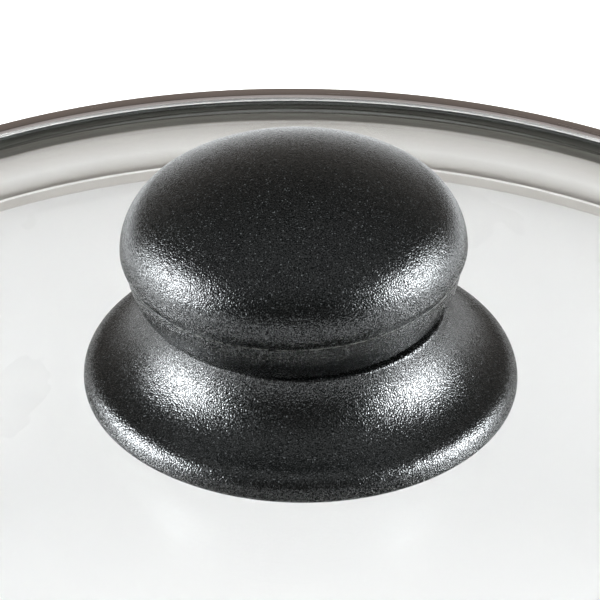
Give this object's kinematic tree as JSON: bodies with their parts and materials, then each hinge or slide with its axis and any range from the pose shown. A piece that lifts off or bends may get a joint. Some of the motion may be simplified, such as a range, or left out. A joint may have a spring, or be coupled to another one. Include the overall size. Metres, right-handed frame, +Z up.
{
  "type": "saucepan with glass lid",
  "caption": "Saucepan with a long black handle and a lift-off domed glass lid that has a steel rim and a black flared knob.",
  "frame": {"origin": "centre of the base disc's lower face, on the pan's axis", "axes": "+Z up along the pan's axis, +X along the long handle"},
  "size_m": [0.3798, 0.204, 0.1424],
  "materials": {
    "pan_coat": "pressed aluminium; white ceramic coating inside and over the lip, satin charcoal coating outside",
    "base_steel": "turned stainless steel",
    "bracket_steel": "pressed steel, satin",
    "rivet_metal": "bright aluminium",
    "guard_steel": "brushed stainless steel",
    "phenolic": "charcoal black phenolic with a fine spark-eroded grain",
    "fastener_steel": "bright zinc-plated steel",
    "lid_glass": "clear tempered glass with a faint green body",
    "rim_steel": "bright rolled stainless steel",
    "brass": "turned brass",
    "silicone": "translucent grey silicone"
  },
  "bodies": {
    "pan": {"pan_body": "pan_coat", "base_disc": "base_steel", "handle_bracket": "bracket_steel", "bracket_rivets": "rivet_metal", "flame_guard": "guard_steel", "handle_grip": "phenolic", "grip_washer": "fastener_steel", "grip_screw": "fastener_steel"},
    "lid": {"lid_glass": "lid_glass", "lid_rim": "rim_steel", "knob_flare": "phenolic", "knob_cap": "phenolic", "knob_insert": "brass", "upper_gasket": "silicone", "lower_gasket": "silicone", "knob_washer": "fastener_steel", "lock_washer": "fastener_steel", "knob_screw": "fastener_steel"}
  },
  "joints": [
    {"name": "lid_lift", "type": "slide", "parent": "pan", "child": "lid", "axis": [0, 0, 1], "range_m": [0, 0.12]}
  ]
}
